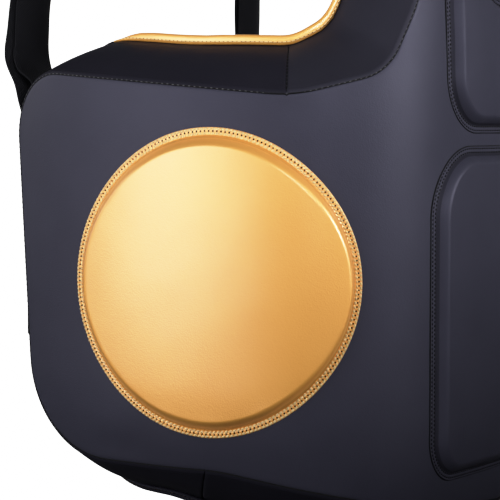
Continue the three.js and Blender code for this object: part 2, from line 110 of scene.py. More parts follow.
BELLY_ROWS = [
    Corner("bottom centre", 0, -145, 0),
    Corner("bottom corner", BELLY_HALF_WIDTH, -145, 33),
    Corner("top corner", BELLY_HALF_WIDTH, 93, 52),
    Corner("top centre", 0, 93, 0),
]
CHEST_ROWS = [
    Corner("bottom centre", 0, 101.5, 0),
    Corner("bottom corner", 95.5, 101.5, 42),
    Corner("horn outer", 103, 238, 8),
    Corner("horn inner", 80, 236, 6),
    Corner("neck scoop", 36, 198, 85),
    Corner("neck centre", 0, 198, 0),
]

# The routes of the right-hand straps, in millimetres; turn is the turn about the upright axis, in degrees
Knot = namedtuple("Knot", "at x y z turn", defaults=(0.0,))
STRAP_ROWS = [
    Knot("tab", -92.5, 44, 343.5),
    Knot("over the tab", -94, 50, 368),
    Knot("shoulder front", -99, 80, 395),
    Knot("shoulder crest", -106, 145, 405),
    Knot("shoulder rear", -114, 210, 394),
    Knot("shoulder blade", -127, 262, 356),
    Knot("upper back", -142, 295, 300, -2),
    Knot("mid back", -154, 309, 240, -3),
    Knot("above the pad", -160, 313.5, 200, -3),
    Knot("over the bend", -161, 314.5, 178, -3),
    Knot("slack bend", -162.5, 313.5, 160, -3),
    Knot("under the bend", -168, 306.5, 148, -3),
    Knot("rear corner", -171, 293, 138, -3),
    Knot("sewn end", -172, 294, 120, -3),
]
RETURN_ROWS = [
    Knot("upper end", -142.5, 299, 300, -2),
    Knot("mid back", -155, 313, 240, -3),
    Knot("above the pad", -161.5, 318, 200, -3),
    Knot("over the bend", -164.5, 319, 178, -3),
    Knot("slack bend", -168, 318.5, 156, -3),
    Knot("under the bend", -169.5, 309, 138, -3),
    Knot("rear corner", -171, 304.5, 125, -3),
    Knot("on the edge strip", -172, 299.5, 111, -3),
    Knot("sewn", -172, 297.5, 94, -3),
    Knot("sewn end", -173, 293.4, 48, -3),
]
WAIST_ROWS = [
    Knot("sewn end", -199, 291.6, -20),
    Knot("on the edge strip", -178, 290.6, -20),
    Knot("past the binding", -155, 290.6, -20),
    Knot("off the pad", -140, 291.6, -20),
    Knot("side of the back", -110, 294, -20),
    Knot("back", -55, 296.5, -20),
    Knot("back centre", 0, 297.5, -20),
]

# Mesh density, in millimetres
EDGE_SPACING = 3.0
RIM_SPACING = 2.6
COVER_GRID = 7.0
PAD_GRID = 4.5


# Small helpers

def unit(vectors):
    """Vectors scaled to length one, along the last axis."""
    return vectors / np.maximum(np.linalg.norm(vectors, axis=-1, keepdims=True), TINY)


def smoothstep(x, low, high):
    t = np.clip((x - low) / (high - low), 0, 1)
    return t * t * (3 - 2 * t)


def falloff(x, width):
    """1 at x = 0, easing to 0 at x = width."""
    return np.clip(1 - x / width, 0, 1) ** 2


def to_row(points):
    """Millimetres on the body to metres in the row frame."""
    return (np.asarray(points, float) - ORIGIN) * MM


# The flat drawing

def plan_at(s):
    """Place on the front cover's plan at arc length s, and the outward direction there."""
    side = np.where(s < 0, -1.0, 1.0)
    left = np.abs(s)
    x = np.zeros_like(left)
    y = np.zeros_like(left)
    angle = np.zeros_like(left)
    for radius, length in PLAN_ARCS:
        step = np.minimum(left, length)
        turned = angle + step / radius
        x += radius * (np.sin(angle) - np.sin(turned))
        y += radius * (np.cos(angle) - np.cos(turned))
        angle = turned
        left = left - step
    return side * x, y, -side * np.sin(angle), -np.cos(angle)


def bend(points, d):
    """Points of the flat drawing at depth d, bent round the body, in metres in the row frame."""
    s, z, d = np.broadcast_arrays(points[..., 0], points[..., 1], np.asarray(d, float))
    x, y, out_x, out_y = plan_at(s)
    out = d - THICKNESS
    return to_row(np.stack([x + out * out_x, y + out * out_y, z], axis=-1))


def outward(points):
    """The front cover's outward direction at points of the drawing."""
    _, _, out_x, out_y = plan_at(points[..., 0])
    return np.stack([out_x, out_y, np.zeros_like(out_x)], axis=-1)


# How the front cover rolls back towards the bottom seam
LOW_ROLL = 6.0
LOW_ROLL_WIDTH = 62.0
LOW_EDGE = OUTLINE_ROWS[:5]


def front_depth(points):
    """The front cover's depth: thinner towards the shoulder tabs, and rolled back towards the bottom seam."""
    s, z = np.abs(points[:, 0]), points[:, 1]
    tab_top = next(row.z for row in OUTLINE_ROWS if row.at == "tab outer")
    thinned = THICKNESS + (TAB_THICKNESS - THICKNESS) * smoothstep(z, THINNING_START, tab_top)
    low = np.interp(s, [row.s for row in LOW_EDGE], [row.z for row in LOW_EDGE])
    return thinned - LOW_ROLL * falloff(z - low, LOW_ROLL_WIDTH)


def filleted(rows):
    """Points along a line through corner rows with filleted corners, and the point nearest each corner."""
    ARC_STEP = 1.0
    MIN_STEPS = 4
    corners = np.array([[row.s, row.z] for row in rows], float)
    points = [corners[0]]
    middles = [0]
    for i in range(1, len(rows) - 1):
        into = unit(corners[i] - corners[i - 1])
        out = unit(corners[i + 1] - corners[i])
        turn = math.atan2(into[0] * out[1] - into[1] * out[0], into @ out)
        start = corners[i] - into * rows[i].r * math.tan(abs(turn) / 2)
        centre = start + np.array([-into[1], into[0]]) * math.copysign(rows[i].r, turn)
        steps = max(MIN_STEPS, round(abs(turn) * rows[i].r / ARC_STEP))
        middles.append(len(points) + steps // 2)
        arm = start - centre
        for k in range(steps + 1):
            c, s = math.cos(turn * k / steps), math.sin(turn * k / steps)
            points.append(centre + np.array([c * arm[0] - s * arm[1], s * arm[0] + c * arm[1]]))
    points.append(corners[-1])
    middles.append(len(points) - 1)
    return np.array(points), middles


def lengths_along(points):
    return np.concatenate([[0], np.cumsum(np.linalg.norm(np.diff(points, axis=0), axis=1))])


def outward_on_ring(points):
    """Outward directions of a closed ring that runs anticlockwise on the drawing."""
    tangent = unit(np.roll(points, -1, axis=0) - np.roll(points, 1, axis=0))
    return np.stack([tangent[:, 1], -tangent[:, 0]], axis=-1)


def closed_ring(rows, spacing):
    """Even points round a shape whose right half the rows give, with lengths there and at the corners."""
    half, middles = filleted(rows)
    length = lengths_along(half)
    count = round(length[-1] / spacing)
    even = np.linspace(0, length[-1], count + 1)
    right = np.stack([np.interp(even, length, half[:, k]) for k in (0, 1)], axis=-1)
    left = right[-2:0:-1] * (-1, 1)
    along = np.concatenate([even, even[-2:0:-1]])
    return np.concatenate([right, left]), along, length[middles]


def smoothed_ring(points, spread):
    """A closed ring smoothed over a number of its points on each side."""
    TAIL = 3
    reach = np.arange(-TAIL * spread, TAIL * spread + 1)
    weights = np.exp(-0.5 * (reach / spread) ** 2)
    weights /= weights.sum()
    return sum(w * np.roll(points, k, axis=0) for k, w in zip(reach, weights))


# How far the lining's edge is smoothed, in samples, and further at its rounder corners
LINING_ROUNDING = 3
CORNER_ROUNDING = 9
CORNER_ROUNDING_REACH = 48.0
ROUNDER_CORNERS = ("armhole corner", "rear bottom")
front_seam, seam_length, corner_lengths = closed_ring(OUTLINE_ROWS, EDGE_SPACING)
corner_length = {row.at: length for row, length in zip(OUTLINE_ROWS, corner_lengths)}
seam_out = outward_on_ring(front_seam)


def eased_column(column):
    """A column of the outline's table at each sample of the seam, eased between its rows."""
    values = np.array([getattr(row, column) for row in OUTLINE_ROWS], float)
    at = np.clip(np.searchsorted(corner_lengths, seam_length, side="right") - 1, 0, len(values) - 2)
    share = smoothstep(seam_length, corner_lengths[at], corner_lengths[at + 1])
    return values[at] + (values[at + 1] - values[at]) * share


edge_flare = eased_column("flare")
edge_reach = eased_column("reach")
flared_seam = front_seam + edge_flare[:, None] * seam_out
rounder = np.zeros((len(front_seam), 1))
for corner in ROUNDER_CORNERS:
    from_corner = (seam_length - corner_length[corner]) / CORNER_ROUNDING_REACH
    rounder += np.exp(-from_corner ** 2)[:, None]
lining_edge = smoothed_ring(flared_seam, LINING_ROUNDING) * (1 - rounder)
lining_edge = lining_edge + smoothed_ring(flared_seam, CORNER_ROUNDING) * rounder
lining_out = outward_on_ring(lining_edge)
edge_depth = front_depth(front_seam)
EDGE_COUNT = len(front_seam)


def nearest_on_edge(s, above):
    """The sample of the right half's flank edge that lies nearest to s, on its upper or lower run."""
    half = front_seam[: EDGE_COUNT // 2]
    wrong_run = (half[:, 1] > 0) != above
    return int(np.argmin(np.where(wrong_run, np.inf, np.abs(half[:, 0] - s))))


def sample_at(corner, past=0.0):
    """The sample of the right half that lies at a corner, or a distance past it."""
    return round((corner_length[corner] + past) / EDGE_SPACING)


armhole_seam = nearest_on_edge(ARMHOLE_SEAM_S, above=True)
bottom_seam = nearest_on_edge(BOTTOM_SEAM_S, above=False)
binding_change = nearest_on_edge(BINDING_CHANGE_S, above=True)
TAB_CORNER = 13.0
tab_outer = sample_at("tab outer", TAB_CORNER)
tab_inner = sample_at("tab inner", -TAB_CORNER)


def opposite(sample):
    return EDGE_COUNT - sample


# The bindings taper to a sliver where the gold one gives way to the black one
BINDING_SLIVER = 0.15
BINDING_TAPER = 30.0
samples = np.arange(EDGE_COUNT)
to_right = np.abs(samples - binding_change)
to_left = np.abs(samples - opposite(binding_change))
to_change = np.minimum(to_right, to_left) * EDGE_SPACING
edge_reach *= BINDING_SLIVER + (1 - BINDING_SLIVER) * smoothstep(to_change, 0, BINDING_TAPER)


# Meshes

def make_piece(name, points, faces, material, slot, replaces=(), uv=None):
    """A mesh piece of the object, riding on its one body."""
    mesh = bpy.data.meshes.new(name)
    mesh.from_pydata([tuple(p) for p in points], [], faces)
    mesh.validate()
    mesh.materials.append(material)
    mesh.shade_smooth()
    if uv is not None:
        layer = mesh.uv_layers.new(name="weave")
        vertex = np.zeros(len(mesh.loops), np.int32)
        mesh.loops.foreach_get("vertex_index", vertex)
        layer.data.foreach_set("uv", np.asarray(uv, np.float32)[vertex].ravel())
    piece = bpy.data.objects.new(name, mesh)
    bpy.context.scene.collection.objects.link(piece)
    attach(piece, "root")
    if replaces:
        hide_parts(*replaces)
    return piece


def grid_faces(rows, columns, closed=False):
    """Quads of a grid of points, whose columns may close on themselves."""
    faces = []
    for i in range(rows - 1):
        a, b = i * columns, (i + 1) * columns
        for j in range(columns if closed else columns - 1):
            k = (j + 1) % columns
            faces.append((a + j, a + k, b + k, b + j))
    return faces


def shell(grid, thickness):
    """Points and faces of a closed sheet of even thickness, whose outer face is a grid of points."""
    rows, columns = grid.shape[:2]
    normal = unit(np.cross(np.gradient(grid, axis=0), np.gradient(grid, axis=1)))
    points = np.concatenate([grid.reshape(-1, 3), (grid - thickness * normal).reshape(-1, 3)])
    count = rows * columns
    outer = grid_faces(rows, columns)
    inner = [tuple(count + i for i in reversed(face)) for face in outer]
    at = np.arange(count).reshape(rows, columns)
    rim = np.concatenate([at[:, 0], at[-1, 1:], at[-2::-1, -1], at[0, -2:0:-1]]).tolist()
    walls = [(a, b, count + b, count + a) for a, b in zip(rim, rim[1:] + rim[:1])]
    return points, outer + inner + walls


def tube(rings):
    """Points and faces of a closed body through rings of points, closed across at its ends."""
    rows, columns = rings.shape[:2]
    faces = grid_faces(rows, columns, closed=True)
    first = tuple(range(columns))
    last = tuple((rows - 1) * columns + j for j in range(columns))
    return rings.reshape(-1, 3), faces + [first[::-1], last]


def distance_to_ring(points, ring):
    """Distance from each point to a closed line."""
    run = np.roll(ring, -1, axis=0) - ring
    square = np.maximum((run ** 2).sum(1), TINY)
    nearest = np.empty(len(points))
    for i, p in enumerate(points):
        t = np.clip(((p - ring) * run).sum(1) / square, 0, 1)
        nearest[i] = np.sqrt((((ring + t[:, None] * run) - p) ** 2).sum(1).min())
    return nearest


def inside_ring(points, ring):
    """Whether each point lies inside a closed line."""
    x, y = points[:, 0][:, None], points[:, 1][:, None]
    ax, ay = ring[:, 0], ring[:, 1]
    bx, by = np.roll(ax, -1), np.roll(ay, -1)
    spans = (ay > y) != (by > y)
    rise = np.where(by == ay, TINY, by - ay)
    crossing = ax + (y - ay) * (bx - ax) / rise
    return (spans & (x < crossing)).sum(1) % 2 == 1


def filled_shape(ring, insets, spacing):
    """Triangles over a closed line on the drawing: rings of points inside its edge and an even grid within.

    Returns the points, their distance from the edge and the triangles. The ring's own points come first.
    """
    KEPT_SHARE = 0.93
    GRID_GAP = 0.6
    INSIDE = 1
    WELD = 1e-5
    out = outward_on_ring(ring)
    layers = [ring]
    for inset in insets:
        layer = ring - inset * out
        layers.append(layer[distance_to_ring(layer, ring) > KEPT_SHARE * inset])
    low, high = ring.min(0), ring.max(0)
    across = np.arange(low[0], high[0] + spacing, spacing)
    up = np.arange(low[1], high[1] + spacing, spacing * math.sqrt(3) / 2)
    grid = np.array([(x + (j % 2) * spacing / 2, y) for j, y in enumerate(up) for x in across])
    grid = grid[inside_ring(grid, ring)]
    grid = grid[distance_to_ring(grid, ring) > insets[-1] + GRID_GAP * spacing]
    points = np.concatenate(layers + [grid])
    edges = [(i, (i + 1) % len(ring)) for i in range(len(ring))]
    made = delaunay_2d_cdt([Vector(p) for p in points], edges, [list(range(len(ring)))], INSIDE, WELD)
    order = [sources[0] if sources else -1 for sources in made[3]]
    place = np.argsort([o if o >= 0 else len(points) + i for i, o in enumerate(order)], kind="stable")
    rank = np.empty(len(place), int)
    rank[place] = np.arange(len(place))
    triangles = [tuple(int(rank[i]) for i in face) for face in made[2]]
    flat = np.array([tuple(v) for v in made[0]])[place]
    return flat, distance_to_ring(flat, ring), triangles


# Soft unevenness: its height, the size of its features and its seed
Ripple = namedtuple("Ripple", "height size seed")


def ripples(points, rows, seed=0.0):
    """Soft noise over points of the drawing, summed over rows."""
    made = 0
    for row in rows:
        places = [Vector((p[0] / row.size, p[1] / row.size, seed + row.seed)) for p in points]
        made = made + row.height * np.array([noise.noise(place) for place in places])
    return made


# Stitching

STITCH_RINGS = [(-0.5, 0.35), (-0.36, 0.82), (0.0, 1.0), (0.36, 0.82), (0.5, 0.35)]
STITCH_SIDES = 6


def stitch_mesh(rows):
    """Points and faces of rows of stitches.

    A row has centres, directions along, normals, a length and a radius.
    """
    angles = np.arange(STITCH_SIDES)[:, None] * 2 * math.pi / STITCH_SIDES
    points, faces = [], []
    for centres, along, normal, length, radius in rows:
        side = unit(np.cross(normal, along))
        normal = np.cross(along, side)
        for centre, a, n, b in zip(centres, along, normal, side):
            spokes = np.cos(angles) * b + np.sin(angles) * n
            rings = [centre + a * share * length * MM + radius * MM * swell * spokes
                     for share, swell in STITCH_RINGS]
            stitch, stitch_faces = tube(np.array(rings))
            faces += [tuple(len(points) + i for i in face) for face in stitch_faces]
            points.extend(stitch)
    return points, faces


def at_lengths(values, length, at):
    """Values along a line in space, at given lengths along it."""
    return np.stack([np.interp(at, length, values[:, k]) for k in range(3)], -1)


def stitch_row(line, normals, pitch, radius, share=0.8, slant=0.0, closed=False):
    """A row of stitches along a line of points in space, with a normal at each point."""
    CHORD = 0.4
    if closed:
        line = np.concatenate([line, line[:1]])
        normals = np.concatenate([normals, normals[:1]])
    length = lengths_along(line) / MM
    count = max(1, round(length[-1] / pitch))
    at = (np.arange(count) + 0.5) * length[-1] / count
    after = at_lengths(line, length, np.minimum(at + CHORD * pitch, length[-1]))
    before = at_lengths(line, length, np.maximum(at - CHORD * pitch, 0))
    along = unit(after - before)
    normal = unit(at_lengths(normals, length, at))
    if slant:
        along = unit(along + math.tan(math.radians(slant)) * np.cross(normal, along))
    return at_lengths(line, length, at), along, normal, share * pitch, radius


# The length of a needle hole's dark plug, as a multiple of its radius
HOLE_LENGTH = 1.6


def gaps_of(row, radius):
    """The needle holes between the stitches of a row, as short dark plugs of painted shade."""
    NEIGHBOUR = 3
    centres, along, normal, length, _ = row
    following = np.roll(centres, -1, axis=0)
    between = (centres + following) / 2
    near = np.linalg.norm(following - centres, axis=1) < NEIGHBOUR * length * MM
    return between[near], along[near], normal[near], HOLE_LENGTH * radius, radius


# Materials

def new_material(name):
    material = bpy.data.materials.new(name)
    material.use_nodes = True
    tree = material.node_tree
    return material, tree, tree.nodes["Principled BSDF"]


def connect(tree, node, inputs):
    """Links or sets the inputs of a node."""
    for key, value in inputs.items():
        if isinstance(value, bpy.types.NodeSocket):
            tree.links.new(value, node.inputs[key])
        else:
            node.inputs[key].default_value = value


def add_node(tree, kind, inputs=None, **settings):
    node = tree.nodes.new(kind)
    for key, value in settings.items():
        setattr(node, key, value)
    connect(tree, node, inputs or {})
    return node


def calculated(tree, operation, *values):
    return add_node(tree, "ShaderNodeMath", dict(enumerate(values)), operation=operation).outputs[0]


def mixed(tree, share, dark, light):
    """Two colours, mixed by a share."""
    inputs = {0: share, 6: (*dark, 1), 7: (*light, 1)}
    return add_node(tree, "ShaderNodeMix", inputs, data_type="RGBA").outputs[2]


def bumped(tree, height, strength, distance):
    bump = add_node(tree, "ShaderNodeBump", {"Height": height, "Strength": strength, "Distance": distance})
    return bump.outputs["Normal"]


def leather(name, dark, light, roughness, grain, metallic=0.0, specular=0.5, tint=(1, 1, 1), coat=0.0):
    """Grained leather: a soft mottle of two colours, roughness that varies, and a fine pebble grain."""
    WEAR = 0.03
    material, tree, shader = new_material(name)
    place = add_node(tree, "ShaderNodeTexCoord").outputs["Object"]
    mottle = add_node(tree, "ShaderNodeTexNoise", {
        "Vector": place, "Scale": 28.0, "Detail": 5.0, "Roughness": 0.6})
    wear = add_node(tree, "ShaderNodeTexNoise", {"Vector": place, "Scale": 9.0, "Detail": 3.0})
    rough = add_node(tree, "ShaderNodeMapRange", {
        "Value": wear.outputs["Fac"], "From Min": 0.3, "From Max": 0.7,
        "To Min": roughness - WEAR, "To Max": roughness + WEAR})
    pebble = add_node(tree, "ShaderNodeTexVoronoi", {"Vector": place, "Scale": 1100.0, "Smoothness": 0.5},
                      feature="SMOOTH_F1")
    crease = add_node(tree, "ShaderNodeTexNoise", {"Vector": place, "Scale": 420.0, "Detail": 4.0})
    height = calculated(tree, "ADD", pebble.outputs["Distance"], crease.outputs["Fac"])
    connect(tree, shader, {
        "Base Color": mixed(tree, mottle.outputs["Fac"], dark, light),
        "Roughness": rough.outputs["Result"],
        "Normal": bumped(tree, height, strength=grain, distance=0.0004),
        "Metallic": metallic,
        "Specular IOR Level": specular,
        "Specular Tint": (*tint, 1),
        "Coat Weight": coat,
        "Coat Roughness": 0.3,
        "Coat IOR": 1.75,
    })
    return material


def thread(name, colour, roughness=0.5, specular=0.5):
    """Twisted sewing thread, with fine slanting plies."""
    SHADE = 0.72
    material, tree, shader = new_material(name)
    place = add_node(tree, "ShaderNodeTexCoord").outputs["Object"]
    wave = add_node(tree, "ShaderNodeTexWave", {"Vector": place, "Scale": 900.0, "Distortion": 1.5})
    ply = wave.outputs["Fac"]
    connect(tree, shader, {
        "Base Color": mixed(tree, ply, [SHADE * c for c in colour], colour),
        "Normal": bumped(tree, ply, strength=0.3, distance=0.0002),
        "Roughness": roughness,
        "Specular IOR Level": specular,
    })
    return material


def webbing(name, dark, light):
    """Twill webbing: slanting ribs across the strap's own coordinates, with a soft nap."""
    RIBS_PER_MM = 0.55
    YARN_WIDTH = 0.9
    material, tree, shader = new_material(name)
    uv = add_node(tree, "ShaderNodeUVMap", uv_map="weave").outputs["UV"]
    axes = add_node(tree, "ShaderNodeSeparateXYZ", {0: uv})
    slanted = calculated(tree, "ADD", axes.outputs["X"], axes.outputs["Y"])
    rib = calculated(tree, "SINE", calculated(tree, "MULTIPLY", slanted, 2 * math.pi * RIBS_PER_MM))
    warp = calculated(tree, "MULTIPLY", axes.outputs["Y"], 2 * math.pi / YARN_WIDTH)
    weave = calculated(tree, "ADD", rib, calculated(tree, "SINE", warp))
    fuzz = add_node(tree, "ShaderNodeTexNoise", {"Vector": uv, "Scale": 3.0, "Detail": 3.0})
    height = calculated(tree, "ADD", weave, fuzz.outputs["Fac"])
    share = add_node(tree, "ShaderNodeMapRange", {"Value": height, "From Min": -1.5, "From Max": 2.5})
    connect(tree, shader, {
        "Base Color": mixed(tree, share.outputs["Result"], dark, light),
        "Normal": bumped(tree, height, strength=0.5, distance=0.0003),
        "Roughness": 0.8,
        "Specular IOR Level": 0.04,
    })
    return material


COOL = (0.74, 0.72, 1.0)
BLACK = leather("black_leather", (0.025, 0.0245, 0.037), (0.034, 0.0335, 0.050),
                roughness=0.48, grain=0.13, specular=0.24, tint=COOL)
# The next two are the black leather darkened into painted shade: deeper for the flank and bottom strips and
# the lower binding, lighter for the armhole and neck strips and the black panels' valleys
SHADED_EDGE_BLACK = leather("shaded_edge_leather", (0.009, 0.0085, 0.0127), (0.0127, 0.0122, 0.018),
                     roughness=0.5, grain=0.13, specular=0.1, tint=COOL)
SHADED_ARMHOLE_BLACK = leather("shaded_armhole_leather", (0.014, 0.0136, 0.0197), (0.0197, 0.0192, 0.027),
                        roughness=0.5, grain=0.13, specular=0.18, tint=COOL)
GOLD = leather("gold_leather", (0.95, 0.42, 0.075), (1.0, 0.48, 0.10),
               roughness=0.54, grain=0.3, metallic=0.5, coat=0.9)
# The gold leather darkened into painted shade, for the valley before the targets' shoulders
GOLD_VALLEY_SHADE = leather("gold_valley_shade", (0.76, 0.32, 0.053), (0.82, 0.37, 0.07),
                      roughness=0.54, grain=0.3, metallic=0.5, coat=0.6)
# Black thread, whose material also paints shade: along the front seam, and in the black panels' cut edges
BLACK_THREAD_AND_SHADE = thread("black_thread_and_shade", (0.002, 0.002, 0.003), roughness=0.8, specular=0.2)
SEAM_THREAD = thread("seam_thread", (0.038, 0.038, 0.045), roughness=0.4, specular=0.6)
GOLD_THREAD = thread("gold_thread", (1.0, 0.72, 0.33))
# Needle holes: a dark brown that paints the shade inside them
HOLE_SHADE = thread("needle_hole_shade", (0.05, 0.026, 0.007), roughness=0.9, specular=0.0)
WEB = webbing("black_webbing", (0.0002, 0.0002, 0.0003), (0.013, 0.013, 0.016))


# The pad

COVER_CROWN = 1.6
COVER_CROWN_WIDTH = 38.0
SEAM_ROLL = 1.5
SEAM_ROLL_WIDTH = 3.0
COVER_INSETS = (0.8, 1.8, 3.0, 4.6, 7.0, 11.0, 16.0, 22.0)
COVER_EASE = (3, 30)
COVER_RIPPLES = [Ripple(0.45, 85, 1.3), Ripple(0.12, 24, 7.7)]
LINING_INSETS = (3.0, 8.0, 15.0)
LINING_EASE = (4, 40)
LINING_RIPPLES = [Ripple(0.8, 90, 4.1)]

# Dimples where seams pull the front cover in: place, depth and spread
Dent = namedtuple("Dent", "s z depth spread_s spread_z")
DENT_ROWS = [
    Dent(226, 118, 0.9, 16, 9),
    Dent(122, 236, 0.8, 7, 34),
    Dent(352, -116, 0.7, 20, 8),
]


def cover_depth(points, distance):
    """The front cover's depth at points of the drawing, from their distance to its seam."""
    depth = front_depth(points)
    depth = depth + COVER_CROWN * (0.5 - falloff(distance, COVER_CROWN_WIDTH))
    depth -= SEAM_ROLL * falloff(distance, SEAM_ROLL_WIDTH)
    depth += smoothstep(distance, *COVER_EASE) * ripples(points, COVER_RIPPLES)
    for dent in DENT_ROWS:
        for side in (1, -1):
            reach = ((points[:, 0] - side * dent.s) / dent.spread_s) ** 2
            reach = reach + ((points[:, 1] - dent.z) / dent.spread_z) ** 2
            depth -= dent.depth * np.exp(-reach)
    return depth


# How far the leather on each side of the front seam is painted black, as painted shade of the seam's valley
SEAM_SHADE_WIDTH = 1.25


def paint(piece, material, chosen):
    """A further material for those faces of a piece that are chosen by their corners."""
    piece.data.materials.append(material)
    for polygon in piece.data.polygons:
        if chosen(list(polygon.vertices)):
            polygon.material_index = len(piece.data.materials) - 1


def build_body_pad():
    """Front cover, hidden edge and lining, as one closed body."""
    LINING_SUNK = 0.8
    LINING_SWELL = 1.5
    LINING_SWELL_WIDTH = 40
    TUCK = 3.0
    front, front_distance, front_faces = filled_shape(front_seam, COVER_INSETS, COVER_GRID)
    lining, lining_distance, lining_faces = filled_shape(lining_edge, LINING_INSETS, 2 * COVER_GRID)
    cover = bend(front, cover_depth(front, front_distance))
    soft = LINING_SWELL * smoothstep(lining_distance, 0, LINING_SWELL_WIDTH)
    soft += ripples(lining, LINING_RIPPLES) * smoothstep(lining_distance, *LINING_EASE)
    back = bend(lining, LINING_SUNK - soft)
    middle = 0.5 * (front_seam + lining_edge) + (EDGE_BULGE - TUCK) * seam_out
    waist = bend(middle, edge_depth / 2)
    first_waist = len(cover)
    first_back = first_waist + EDGE_COUNT
    faces = front_faces + [tuple(first_back + i for i in reversed(face)) for face in lining_faces]
    for i in range(EDGE_COUNT):
        k = (i + 1) % EDGE_COUNT
        faces.append((i, first_waist + i, first_waist + k, k))
        faces.append((first_waist + i, first_back + i, first_back + k, first_waist + k))
    points = np.concatenate([cover, waist, back])
    pad = make_piece("body_pad", points, faces, BLACK, "cover_leather", ["body_pad"])
    # Painted shade: the cover's leather next to the seam is painted black, for the dark valley of the seam
    border = np.zeros(len(points), bool)
    border[: len(front)] = front_distance < SEAM_SHADE_WIDTH
    paint(pad, BLACK_THREAD_AND_SHADE, lambda corners: border[corners].all())


# Where points lie across an edge strip, from the front seam
GUSSET_SHARES = np.concatenate([
    [0, 0.008, 0.018, 0.03, 0.045, 0.065, 0.09, 0.13],
    np.linspace(0.18, 0.86, 15),
    [0.91, 0.945, 0.97, 0.988, 1.0],
])
GUSSET_RIPPLES = [Ripple(0.5, 46, 2.2), Ripple(0.2, 15, 9.1)]


def run_of(first, last):
    """Samples of the edge from one to another, round the closed ring."""
    return np.arange(first, last + 1) % EDGE_COUNT


def ring_values(values, places):
    """Values of the edge's samples at fractional places round the closed ring."""
    low = np.floor(places).astype(int)
    share = places - low
    if values.ndim > 1:
        share = share[..., None]
    return values[low % EDGE_COUNT] * (1 - share) + values[(low + 1) % EDGE_COUNT] * share


def gusset_grid(first, last, first_slant=0.0, last_slant=0.0):
    """Points across a run of the pad's edge, from the front seam to the lining's edge, with rolled borders.

    A slant moves that end of the run along the lining's edge, in millimetres.
    """
    SLANT_REACH = 70.0
    SEAM_DIP = 1.5
    SEAM_SINK = 0.6
    SEAM_WIDTH = 2.4
    FOLD = 0.3
    FOLD_WIDTH = 1.0
    LINING_DIP = 0.9
    LINING_WIDTH = 4.0
    END_ROLL = 1.2
    END_ROLL_WIDTH = 1.8
    END_STEPS = np.array([0.12, 0.28, 0.5])
    run = last - first
    steps = [[0], END_STEPS, np.arange(1, run), run - END_STEPS[::-1], [run]]
    along = np.concatenate(steps)[:, None]
    share = GUSSET_SHARES[None, :]
    to_first = EDGE_SPACING * along
    to_last = EDGE_SPACING * (run - along)
    slant = first_slant * np.clip(1 - to_first / SLANT_REACH, 0, 1)
    slant = slant + last_slant * np.clip(1 - to_last / SLANT_REACH, 0, 1)
    places = first + along + share * slant / EDGE_SPACING
    seam, lining = ring_values(front_seam, places), ring_values(lining_edge, places)
    out, depth = ring_values(seam_out, places), ring_values(edge_depth, places)
    width = np.hypot(depth, ring_values(edge_flare, places))
    from_seam = share * width
    to_lining = (1 - share) * width
    arch = 4 * share * (1 - share)
    lift = EDGE_BULGE * arch - SEAM_DIP * falloff(from_seam, SEAM_WIDTH)
    lift = lift + FOLD * np.exp(-((from_seam - SEAM_WIDTH) / FOLD_WIDTH) ** 2)
    lift = lift - LINING_DIP * falloff(to_lining, LINING_WIDTH)
    lift = lift - END_ROLL * falloff(np.minimum(to_first, to_last), END_ROLL_WIDTH)
    where = seam * (1 - share[..., None]) + lining * share[..., None]
    soft = ripples(where.reshape(-1, 2), GUSSET_RIPPLES)
    where = where + (lift + arch * soft.reshape(lift.shape))[..., None] * out
    return bend(where, depth * (1 - share) - SEAM_SINK * falloff(from_seam, SEAM_WIDTH))


def build_gusset(name, first, last, material, first_slant=0.0, last_slant=0.0):
    grid = gusset_grid(first, last, first_slant, last_slant)
    piece = make_piece(name, *shell(grid, LEATHER * MM), material, "cover_leather", [name])
    # Painted shade: the strip's leather next to the front seam is painted black, for the dark valley of the
    # seam
    from_seam = np.linalg.norm(grid - grid[:, :1], axis=-1) / MM
    border = np.tile((from_seam < SEAM_SHADE_WIDTH).ravel(), 2)
    paint(piece, BLACK_THREAD_AND_SHADE, lambda corners: border[corners].all())


BINDING_NOSE = np.radians(np.linspace(-90, 90, 9))
BINDING_RIPPLES = [Ripple(0.25, 14, 3.3)]


def binding_rings(run):
    """The rings of a folded binding, standing out from the lining's edge with a rounded fold."""
    TUCKED = -0.5
    TUCK_DEPTH = 0.6
    INNER_AT = 0.45
    INNER_BULGE = 0.1
    OUTER_AT = 0.5
    OUTER_BULGE = 0.35
    NOSE_SHARE = 0.45
    WAVE_FROM = 1
    edge, out, reach = lining_edge[run], lining_out[run], edge_reach[run]
    nose = np.minimum(BINDING_DEPTH / 2, NOSE_SHARE * reach)[:, None]
    flat = reach[:, None] - nose
    tucked = np.full_like(flat, TUCKED)
    fold = flat + nose * np.cos(BINDING_NOSE)
    step = np.hstack([tucked, INNER_AT * flat, fold, OUTER_AT * flat, tucked])
    fold_depth = BINDING_DEPTH / 2 * (1 + np.sin(BINDING_NOSE))
    outer_depth = (BINDING_DEPTH + OUTER_BULGE, BINDING_DEPTH - TUCK_DEPTH)
    depth = np.concatenate([(TUCK_DEPTH, -INNER_BULGE), fold_depth, outer_depth])
    step = step + ripples(edge, BINDING_RIPPLES)[:, None] * (step > WAVE_FROM)
    return bend(edge[:, None, :] + step[..., None] * out[:, None, :], depth)


